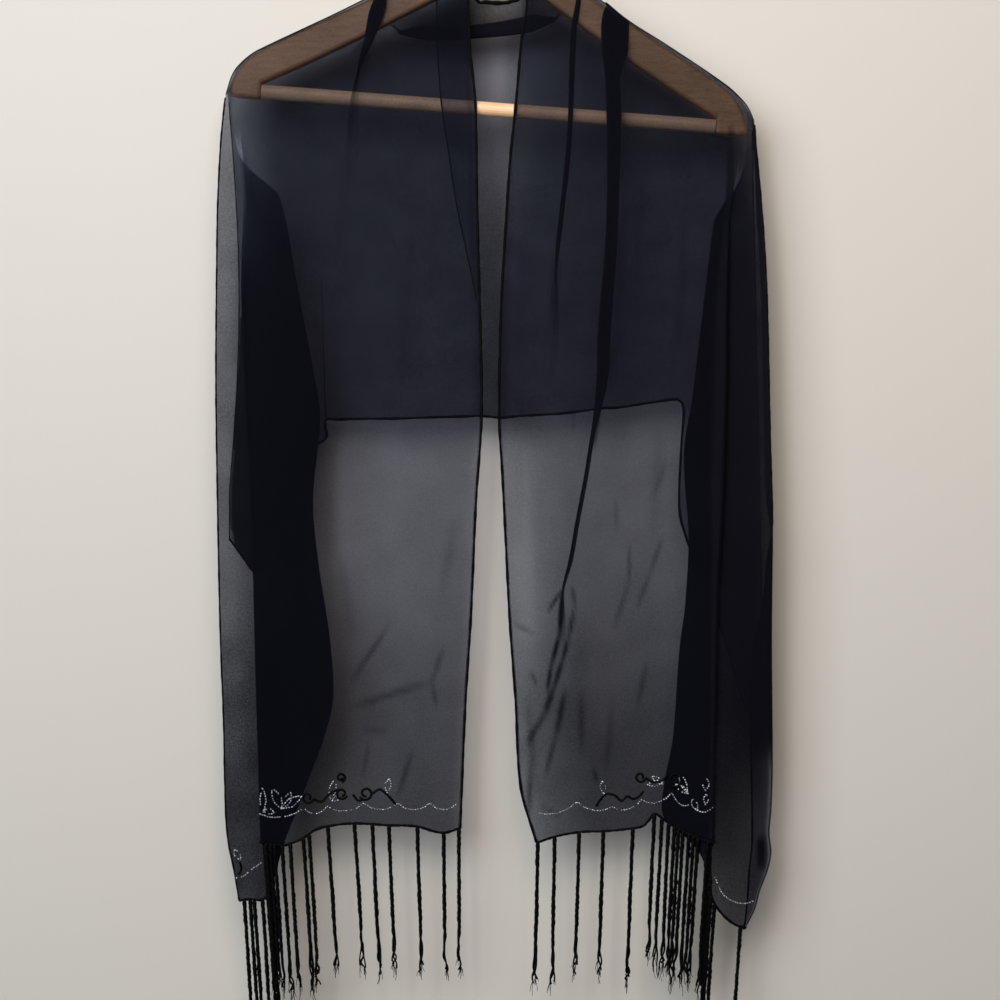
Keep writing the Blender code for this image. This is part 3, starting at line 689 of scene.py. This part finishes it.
def clothShell(name, columns, covers):
    # a thin closed shell about a sheet of points
    piece = newPiece(name, [p for column in columns for p in column], gridFaces(columns), chiffon)
    layer = piece.data.attributes.new("cover", "FLOAT", "POINT")
    layer.data.foreach_set("value", [value for cover in covers for value in cover])
    piece.data.shade_smooth()
    wall = piece.modifiers.new("wall", "SOLIDIFY")
    wall.thickness = clothSettings["thick"] * mm
    wall.offset = 0.0
    return piece


curl = [1] * curlSteps
leftPoints = (innerPoints(leftSide) + pleatPoints(pleatShoulder, -1, 0)
              + [coverPoint(leftSide)] + sidePoints(leftSide) + [outerPoint(leftSide)])
leftCounts = [4, 1, 1, 60] + curl + [3] + curl + [14, 22] + curl + [18] + curl + [22]
leftSideStart = 4 + foldPoints + 1
leftColumns, leftCovers = frontStretch(leftPoints, leftCounts, ridgeLeft, leftSide, leftSideStart)
leftFront = clothShell("scarf_front_left_cloth", leftColumns, leftCovers)

rightPoints = (innerPoints(rightSide) + pleatPoints(pleatLong, 1, 0)
               + pleatPoints(pleatWide, 1, 1) + [coverPoint(rightSide)]
               + sidePoints(rightSide) + lapelPoints(rightSide))
rightCounts = ([2, 1, 1, 32] + curl + [2] + curl + [22] + curl + [3] + curl + [44, 20]
               + curl + [8] + curl + [22] + curl + [6])
rightSideStart = 4 + 2 * foldPoints + 1
rightColumns, rightCovers = frontStretch(rightPoints, rightCounts, ridgeRight, rightSide,
                                         rightSideStart)
rightFront = clothShell("scarf_front_right_cloth", rightColumns, rightCovers)
print("front stretches draped:", len(leftColumns), "and", len(rightColumns), "columns")

# Back stretch, a row for each line down the cloth: across and down at its top, held by
# the arm there (1) or free (0), across and down at its lower edge, how far the neck
# fold is closed on it, how far it swings outwards before it ends.
backLines = [
    (225.8, 92, 1, 227.6, 539, 0, 0), (236, 67, 1, 240, 556, 0, 0),
    (250, 54.5, 1, 255, 572, 0, 0), (262, 47.5, 1, 268, 536, 0, 0),
    (276, 40.5, 1, 284, 497, 0, 0), (292, 33, 1, 302.5, 455, 0, 0),
    (308, 26, 1, 323.5, 438.5, 0, 0), (314, 23, 1, 323.6, 427, 0, 0),
    (320, 20.5, 1, 324.4, 418.8, 0, 0), (330, 16, 1, 336, 418.6, 0, 0),
    (350, 6.5, 1, 358, 418, 0, 0), (370, -3, 1, 379, 418, 0.17, 0),
    (384, -9, 1, 394, 418, 0.33, 0), (398, -15.5, 1, 408, 417.5, 0.5, 0),
    (425, -28, 1, 436, 416.5, 1, 0), (462, -44.5, 1, 470, 415.5, 1, 0),
    (466, -47.5, 0, 476, 415, 1, 0), (476, -6, 0, 484, 415.5, 1, 0),
    (486, -2.5, 0, 491, 416, 1, 0), (499, -1.5, 0, 500, 417, 1, 0),
    (511, -3, 0, 511, 416, 1, 0), (521, -10, 0, 522, 415, 1, 0),
    (529, -47, 0, 532, 414.5, 1, 0), (533, -43, 1, 540, 414, 1, 0),
    (556, -28, 1, 560, 413, 0.5, 0), (570, -18.8, 1, 574, 411.5, 0.33, 0),
    (584, -10, 1, 589, 409.5, 0.17, 0), (598, -1.5, 1, 604, 407.5, 0, 0),
    (615, 10.5, 1, 622, 406.5, 0, 0), (650, 34, 1, 658, 401, 0, 0),
    (674, 49, 1, 684, 402, 0, 0), (688, 58.5, 1, 683, 446, 0, 12),
    (700, 66.5, 1, 681, 505, 0, 14), (712, 74.5, 1, 688, 538, 0, 10),
    (726, 84, 1, 708, 590, 0, 3), (739, 95.5, 1, 726, 640, 0, 0),
    (745.5, 104, 1, 738, 680, 0, 0), (750.5, 112, 1, 751, 714, 0, 0),
    (754.5, 121, 1, 765, 655, 0, 0),
]
# the fold below the neck: across, its upper and its lower edge
neckFold = [(384, 6, 26), (425, 20.5, 35.5), (471, 19.5, 34), (525, 11, 28.5), (549, 2, 19.5),
            (565, -4, 10)]
# the doubled cloth beside the left fold, seen from the front: down, from, to
backWedge = [(270, 242, 242.5), (356, 236, 247), (440, 231, 250), (520, 230, 253), (570, 236, 255)]
# the single layer seen between the fronts: sheerer at the neck as painted light, closer woven lower down as
# painted shade
gapPaintedLightAndShade = [(60, -0.12), (150, 0.0), (250, 0.14), (380, 0.19)]
# columns to a row of the table, rows, cover at the ridge, in the neck fold's first turn and
# in the rest; the drop of the free neck edge; the doubled part's cover; the gap's place
backSettings = {"finer": 4, "rows": 90, "wrapSteps": 6, "lift": 0.5, "ridgeCover": 0.45,
                "foldCover": (0.37, 0.35, 0.1), "restCover": 0.36, "neckDrop": 4.8,
                "wedgeCover": 0.45, "wedgeFrom": 270, "wedgeTo": 575, "gapAt": 491, "gapHalf": 17}


def backStretch():
    finer, hangRows, wrapSteps = (backSettings[name] for name in ("finer", "rows", "wrapSteps"))
    foldBase, foldFirst, foldSecond = backSettings["foldCover"]
    neckDrop = backSettings["neckDrop"]
    indexed = [(i, *line) for i, line in enumerate(backLines)]
    flat = boardThick / 2 - boardEdge
    columns, covers = [], []
    for n in range((len(backLines) - 1) * finer + 1):
        across0, down0, held, across1, down1, closed, swing = [
            read(indexed, n / finer, column) for column in range(1, 8)]
        held, closed = min(1, max(0, held)), min(1, max(0, closed))
        column, cover = [], []
        wrapped = [(0.15, -0.5), (flat, -0.5)]
        for turnStep in range(1, wrapSteps + 1):
            turn = math.radians(90 * turnStep / wrapSteps)
            radius = boardEdge + backSettings["lift"]
            wrapped.append((flat + radius * math.sin(turn), boardEdge - radius * math.cos(turn)))
        for row, (depth, below) in enumerate(wrapped):
            freeBelow = neckDrop * row / (len(wrapped) - 1)
            column.append(place(across0, mix(sheetFace, depth, held),
                                down0 + mix(freeBelow, below, held) / step))
            cover.append(backSettings["ridgeCover"])
        first = down0 + mix(neckDrop, boardEdge, held) / step

        def along(down):
            share = (down - down0) / (down1 - down0)
            bulge = share ** 4 * (1 - share) / 0.082 if share > 0 else 0
            drawnIn = 0 if across0 > 262 else 10 * (262 - across0) / 36 * math.sin(
                math.pi * min(1, max(0, (down - 92) / 400)))
            return mix(across0, across1, share) + swing * bulge + drawnIn

        neckUpper, neckLower = read(neckFold, across0), read(neckFold, across0, 2)
        tucked = max(0.0, 2 * closed - 1)
        run = mix(0.8, (neckLower - neckUpper) * step - 2 * bendRadius, tucked)
        path = foldPath(math.pi * min(1.0, 2 * closed), run, 2)
        start = mix(first + 3, neckLower - bendRadius / step, min(1.0, 2 * closed))
        for i, (forward, rise) in enumerate(path):
            down = start + forward / step
            column.append(place(along(down), sheetFace + rise, down))
            cover.append(foldBase + (foldFirst if i <= curlSteps else foldSecond) * closed)
        last, layers = down, path[-1][1]
        for row in range(1, hangRows + 1):
            down = mix(last, down1, row / hangRows)
            across = along(down)
            settle = layers * (1 - ease((down - 60) / 120))
            column.append(place(across, sway(across, down) + sheetFace + settle, down))
            low, high = read(backWedge, down), read(backWedge, down, 2)
            beside = backSettings["wedgeFrom"] < down < backSettings["wedgeTo"]
            doubled = backSettings["wedgeCover"] if beside and low < across < high else 0
            # painted light at the neck and painted shade lower down, on the layer seen between the fronts
            aside = (across - backSettings["gapAt"]) / backSettings["gapHalf"]
            gapLightAndShadeHere = read(gapPaintedLightAndShade, down) * math.exp(-aside ** 4)
            cover.append(backSettings["restCover"] + doubled + gapLightAndShadeHere)
        columns.append(column)
        covers.append(cover)
    return columns, covers


backColumns, backCovers = backStretch()
back = clothShell("scarf_back_cloth", backColumns, backCovers)
print("back stretch draped:", len(backColumns), "columns")


# Tubes and other small things are joined into one mesh for each piece.
class Builder:
    def __init__(self):
        self.points, self.faces = [], []

    def tube(self, line, radii, sides=6):
        # a round tube with closed ends along a line of points, radii in millimetres
        rings, side = [], None
        for j, centre in enumerate(line):
            ahead = (line[min(j + 1, len(line) - 1)] - line[max(j - 1, 0)]).normalized()
            if side is None:
                side = ahead.orthogonal().normalized()
            side = (side - ahead * side.dot(ahead)).normalized()
            other = ahead.cross(side)
            start = len(self.points)
            for n in range(sides):
                turn = 2 * math.pi * n / sides
                self.points.append(centre + (side * math.cos(turn) + other * math.sin(turn))
                                   * radii[j] * mm)
            rings.append(start)
        for low, high in zip(rings, rings[1:]):
            for n in range(sides):
                m = (n + 1) % sides
                self.faces.append((low + n, low + m, high + m, high + n))
        self.faces.append(tuple(rings[0] + n for n in reversed(range(sides))))
        self.faces.append(tuple(rings[-1] + n for n in range(sides)))

    def piece(self, name, look, slotName):
        made = newPiece(name, self.points, self.faces, look)
        made.data.shade_smooth()
        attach(made, "root")
        return made


# Rolled hems: the free edges are rolled and overcast, about 2 mm thick, thinner at the sides.
hemSettings = {"radius": 1.15, "uneven": 0.12, "inner": 0.5, "side": 0.8, "neck": 1.7}


def hemTube(builder, line, radius, phase):
    uneven = hemSettings["uneven"]
    builder.tube(line, [radius * (1 + uneven * math.sin(1.7 * j + phase)
                                  + uneven * math.sin(0.61 * j + 2 * phase))
                        for j in range(len(line))], 6)


def lowerEdge(columns):
    return [column[-1] for column in columns]


hemLeft, hemRight, hemBack = Builder(), Builder(), Builder()
leftEdge, rightEdge = 5, 3       # columns at the middle of each inner edge's fold
belowArm = 8                     # the points of a column that lie round the arm
turnedIn = [p for p in leftColumns[0] if -30 < downOf(p) < 300]
neckEdge = [column[0] for column in backColumns if column[0].y > 0.9 * sheetFace * mm]
for builder, line, width, phase in (
        (hemLeft, leftColumns[leftEdge], "radius", 0.3),
        (hemLeft, turnedIn, "inner", 0.9),
        (hemLeft, lowerEdge(leftColumns[leftEdge:]), "radius", 1.1),
        (hemLeft, leftColumns[-1][belowArm:], "side", 2.2),
        (hemRight, rightColumns[rightEdge], "radius", 0.5),
        (hemRight, lowerEdge(rightColumns[rightEdge:]), "radius", 1.9),
        (hemRight, rightColumns[-1][belowArm:], "side", 2.7),
        (hemBack, backColumns[0][belowArm:], "inner", 0.2),
        (hemBack, backColumns[-1][belowArm:], "inner", 1.3),
        (hemBack, lowerEdge(backColumns), "radius", 2.0),
        (hemBack, neckEdge, "neck", 0.7)):
    hemTube(builder, line, hemSettings[width], phase)
hems = {"left": hemLeft.piece("rolled_hem_left", rolledThread, "tassel_thread"),
        "right": hemRight.piece("rolled_hem_right", rolledThread, "tassel_thread"),
        "back": hemBack.piece("rolled_hem_back", rolledThread, "tassel_thread")}
print("hems rolled")


# Beadwork, in steps of the front view: a scalloped row above the hem, leaf sprays and
# stems in silver beads, scrolls in black cord.
def treeOf(columns):
    return BVHTree.FromPolygons([p for column in columns for p in column], gridFaces(columns))


trees = {"left": treeOf(leftColumns), "right": treeOf(rightColumns)}


def onCloth(side, across, down, lift):
    # the spot on the front of the cloth behind a place in the front view
    start = place(across, -300, down)
    hit, _, _, _ = trees[side].ray_cast(start, Vector((0, 1, 0)))
    return None if hit is None else hit + Vector((0, -lift * mm, 0))


def smoothLine(spots, finer):
    table = [(i, *spot) for i, spot in enumerate(spots)]
    return [(read(table, n / finer, 1), read(table, n / finer, 2))
            for n in range((len(spots) - 1) * finer + 1)]


def scallops(nodes, droop):
    # a row that hangs in shallow swags between its nodes
    spots = []
    for (a0, d0), (a1, d1) in zip(nodes, nodes[1:]):
        for n in range(6):
            share = n / 6
            spots.append((mix(a0, a1, share), mix(d0, d1, share)
                          + droop * math.sin(math.pi * share) ** 0.8))
    return spots + [nodes[-1]]


def leaf(across, down, heading, length, wide):
    # a pointed leaf outline: both sides, from stem to tip and back
    spots = []
    for side in (1, -1):
        for n in range(9):
            share = n / 8 if side == 1 else 1 - n / 8
            out = side * wide * math.sin(math.pi * share) ** 0.9
            forward = length * share
            spots.append((across + forward * math.cos(heading) - out * math.sin(heading),
                          down + forward * math.sin(heading) + out * math.cos(heading)))
    return spots


def scroll(across, down, radius, heading, turns, hand):
    # a curl that winds inwards from its stem
    spots = []
    for n in range(22):
        share = n / 21
        turn = heading + hand * 2 * math.pi * turns * share
        size = radius * (1 - 0.62 * share)
        spots.append((across + size * math.cos(turn), down + size * math.sin(turn)))
    return spots


beadSettings = {"length": 1.5, "radius": 0.62, "pitch": 2.1, "sides": 6, "lift": 0.75,
                "drift": 0.22, "tilt": 0.35, "missingInRow": 0.06, "missingInLeaf": 0.12}
cordSettings = {"radius": 1.1, "lift": 0.7}
beadwork = {
    "left": {
        "rows": [scallops([(261, 813), (304, 808), (328, 806), (364, 803), (398, 803),
                           (430, 803), (457, 804)], 6),
                 [(235, 877), (243, 876), (252, 869), (261, 863)]],
        "leaves": [(282, 808, -2.0, 22, 4), (282, 808, -0.55, 23, 4), (286, 806, -1.25, 15, 3),
                   (264, 811, -1.6, 24, 2.8), (275, 812, -2.9, 11, 2.6),
                   (331, 798, -1.35, 19, 3.4), (333, 800, -0.5, 8, 2.2),
                   (387, 792, -1.4, 14, 2.8), (241, 859, -2.1, 12, 2.6)],
        "scrolls": [(342, 793, 6, 0.4, 1.2, 1), (341, 777, 4.6, 1.4, 1.2, -1),
                    (366, 793, 7, 2.6, 1.2, -1), (308, 797, 6, 0.2, 1.1, 1)],
        "stems": [[(314, 798), (322, 801), (330, 793), (340, 789)],
                  [(353, 794), (358, 800), (362, 800)],
                  [(373, 793), (380, 789), (388, 795), (396, 804)],
                  [(240, 861), (242, 868), (239, 874)]],
    },
    "right": {
        "rows": [scallops([(535, 811), (577, 802), (612, 806), (641, 799), (671, 792),
                           (689, 802), (711, 805)], 6),
                 [(714, 876), (721, 891), (731, 899), (743, 902), (754, 900)]],
        "leaves": [(604, 793, -1.75, 13, 2.6), (662, 781, 2.95, 15, 2.8), (662, 783, -2.5, 13, 2.6),
                   (686, 791, -1.95, 20, 2.8), (687, 792, -2.5, 15, 2.6), (704, 788, -1.5, 12, 3),
                   (704, 802, -1.5, 10, 2.4), (696, 808, -2.0, 12, 2.6)],
        "scrolls": [(640, 776, 5.5, 0.3, 1.1, 1), (674, 778, 8, 2.4, 1.2, -1)],
        "stems": [[(596, 806), (601, 798), (607, 793), (615, 795), (621, 800), (627, 795)],
                  [(627, 795), (633, 798), (639, 795), (643, 790)],
                  [(645, 777), (653, 781), (661, 780), (667, 774)]],
    },
}


def addBead(builder, spot, way, squeeze):
    # one seed bead: a short round barrel with its thread along the row
    half = way.normalized() * beadSettings["length"] / 2 * mm * squeeze
    line = [spot + half * share for share in (-1.0, -0.62, 0.62, 1.0)]
    full = beadSettings["radius"]
    builder.tube(line, [0.55 * full, full, full, 0.55 * full], beadSettings["sides"])


def beadRow(builder, side, spots, draw, skip):
    # beads at an even pitch along a row, each a little off true and some missing
    line = [onCloth(side, a, d, beadSettings["lift"]) for a, d in smoothLine(spots, 4)]
    line = [p for p in line if p is not None]
    due = 0.0
    for here, there in zip(line, line[1:]):
        run = (there - here).length / mm
        if run > 6:
            continue
        while due < run:
            if draw.random() > skip:
                drift = Vector((draw.uniform(-1, 1), 0, draw.uniform(-1, 1))) \
                    * beadSettings["drift"] * mm
                way = (there - here) / mm + Vector((draw.uniform(-1, 1), draw.uniform(-0.3, 0.3),
                                                    draw.uniform(-1, 1))) \
                    * beadSettings["tilt"] * run
                addBead(builder, here.lerp(there, due / run) + drift, way, draw.uniform(0.85, 1.15))
            due += beadSettings["pitch"] * draw.uniform(0.92, 1.12)
        due -= run


beads, cords = {}, {}
for seed, (side, work) in enumerate(beadwork.items()):
    draw = random.Random(20 + seed)
    beading, cording = Builder(), Builder()
    for row in work["rows"]:
        beadRow(beading, side, row, draw, beadSettings["missingInRow"])
    for across, down, heading, length, wide in work["leaves"]:
        beadRow(beading, side, leaf(across, down, heading, length, wide), draw,
                beadSettings["missingInLeaf"])
    for curve in [scroll(*facts) for facts in work["scrolls"]] + work["stems"]:
        line = [onCloth(side, a, d, cordSettings["lift"]) for a, d in smoothLine(curve, 4)]
        line = [p for p in line if p is not None]
        cording.tube(line, [cordSettings["radius"] * (1 + 0.1 * math.sin(2.1 * j))
                            for j in range(len(line))], 7)
    beads[side] = beading.piece("seed_beads_" + side, beadGlass, "beads")
    cords[side] = cording.piece("scroll_cord_" + side, cordThread, "tassel_thread")
print("beads sewn on:", sum(len(b.data.polygons) for b in beads.values()), "faces")


# Tassels: three plies knotted through the hem, twisted, fraying towards their ends.
tasselSettings = {
    "length": 126.0, "plyRadius": 1.08, "twistRadius": 0.96, "pitch": 16.0, "steps": 54,
    # the knot: how far below the hem, radius
    "knot": [(-0.6, 1.0), (0.6, 1.4), (1.8, 1.75), (3.2, 1.95), (4.6, 1.6), (5.8, 1.0)],
    "threadRadius": 0.38,
    "left": {"at": [1.5, 15, 38, 62, 76, 91, 113.5, 131, 137, 149, 156, 162.5, 166, 169.5,
                    183, 205, 222, 234, 241, 244.5, 249.5],
             "start": leftEdge, "lean": lambda a: 0.065 * min(1, max(0, (462 - a) / 110))},
    "right": {"at": [1.5, 16.5, 37.5, 58, 83, 106, 113.5, 120.5, 126, 130, 134, 139.5, 143.5,
                     147.5, 156, 176, 195, 210, 223, 253],
              "start": rightEdge, "lean": lambda a: -0.02 - 0.05 * ease((a - 540) / 200)},
}


def hemSpots(columns, distances, start):
    line = lowerEdge(columns[start:])
    spots, gone, j = [], 0.0, 0
    for distance in distances:
        while j < len(line) - 2 and gone + (line[j + 1] - line[j]).length / mm < distance:
            gone += (line[j + 1] - line[j]).length / mm
            j += 1
        share = (distance - gone) * mm / (line[j + 1] - line[j]).length
        spots.append(line[j].lerp(line[j + 1], min(1.0, share)))
    return spots


def addTassel(builder, root, lean, length, draw):
    rootAcross, rootDown = acrossOf(root), downOf(root)
    pitch = tasselSettings["pitch"] * draw.uniform(0.8, 1.3)
    wander, phase0 = draw.uniform(-0.8, 0.8), draw.uniform(0, 6.28)

    def centre(run):
        share = run / length
        across = rootAcross + (lean * run + wander * math.sin(3.1 * share + phase0)
                               * share) / step
        down = rootDown + run / step
        drift = sway(across, down) - sway(rootAcross, rootDown)
        return place(across, root.y / mm + drift * 0.8, down)

    # the knot: a tight wrapped bead of yarn just under the hem
    knot = tasselSettings["knot"]
    builder.tube([centre(run) for run, _ in knot], [radius for _, radius in knot], 8)
    for ply in range(3):
        ends = length * draw.uniform(0.9, 1.0)
        parts = draw.uniform(0.6, 0.86)          # where this ply starts to work loose
        loose = draw.uniform(0.5, 1.9)
        line, radii = [], []
        for n in range(tasselSettings["steps"]):
            run = mix(4.0, ends, n / (tasselSettings["steps"] - 1))
            share = run / length
            free = ease((share - parts) / (1.02 - parts))
            turn = phase0 + 2 * math.pi * (ply / 3 + run / pitch * (1 - 0.35 * free))
            wide = tasselSettings["twistRadius"] * (0.75 + 0.25 * math.sin(run / 9 + ply)) \
                + loose * free
            line.append(centre(run) + Vector((math.cos(turn), math.sin(turn), 0)) * wide * mm)
            radii.append(tasselSettings["plyRadius"] * (1 - 0.45 * free)
                         * (1 + 0.12 * math.sin(run / 2.3 + ply)))
        builder.tube(line, radii, 6)
        # loose ends: two to four single threads that curl out of the ply
        for _ in range(draw.choice((2, 3, 4))):
            tip, bend = draw.uniform(5, 15), draw.uniform(-3.2, 3.2)
            turn = draw.uniform(0, 6.28)
            thread = [line[-3] + Vector((math.cos(turn) * (bend * (t / 7) ** 1.4 + 0.4 * math.sin(t)),
                                         math.sin(turn) * bend * (t / 7) ** 1.4,
                                         -tip * t / 7)) * mm for t in range(8)]
            builder.tube(thread, [tasselSettings["threadRadius"] - 0.018 * t for t in range(8)], 4)


for seed, (side, columns) in enumerate((("left", leftColumns), ("right", rightColumns))):
    draw, strands = random.Random(7 + seed), Builder()
    facts = tasselSettings[side]
    for root in hemSpots(columns, facts["at"], facts["start"]):
        addTassel(strands, root, facts["lean"](acrossOf(root)),
                  tasselSettings["length"] * draw.uniform(0.955, 1.04), draw)
    strands.piece("tassels_" + side, tasselThread, "tassel_thread")


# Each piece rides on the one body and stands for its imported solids.
for name, piece in (("scarf_front_left", leftFront), ("scarf_front_right", rightFront),
                    ("scarf_back", back)):
    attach(piece, "root")
    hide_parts(name)
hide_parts("fringe_left")
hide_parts("fringe_right")
print("cloth and fringes stand for their solids")

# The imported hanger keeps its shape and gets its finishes.
for node, look in (("hanger_body", armWood), ("hanger_bar", barWoodPaintedLight), ("hanger_hook", hookSteel)):
    solid = bpy.data.objects[node]
    solid.data.materials.clear()
    solid.data.materials.append(look)
print("hanger finished")
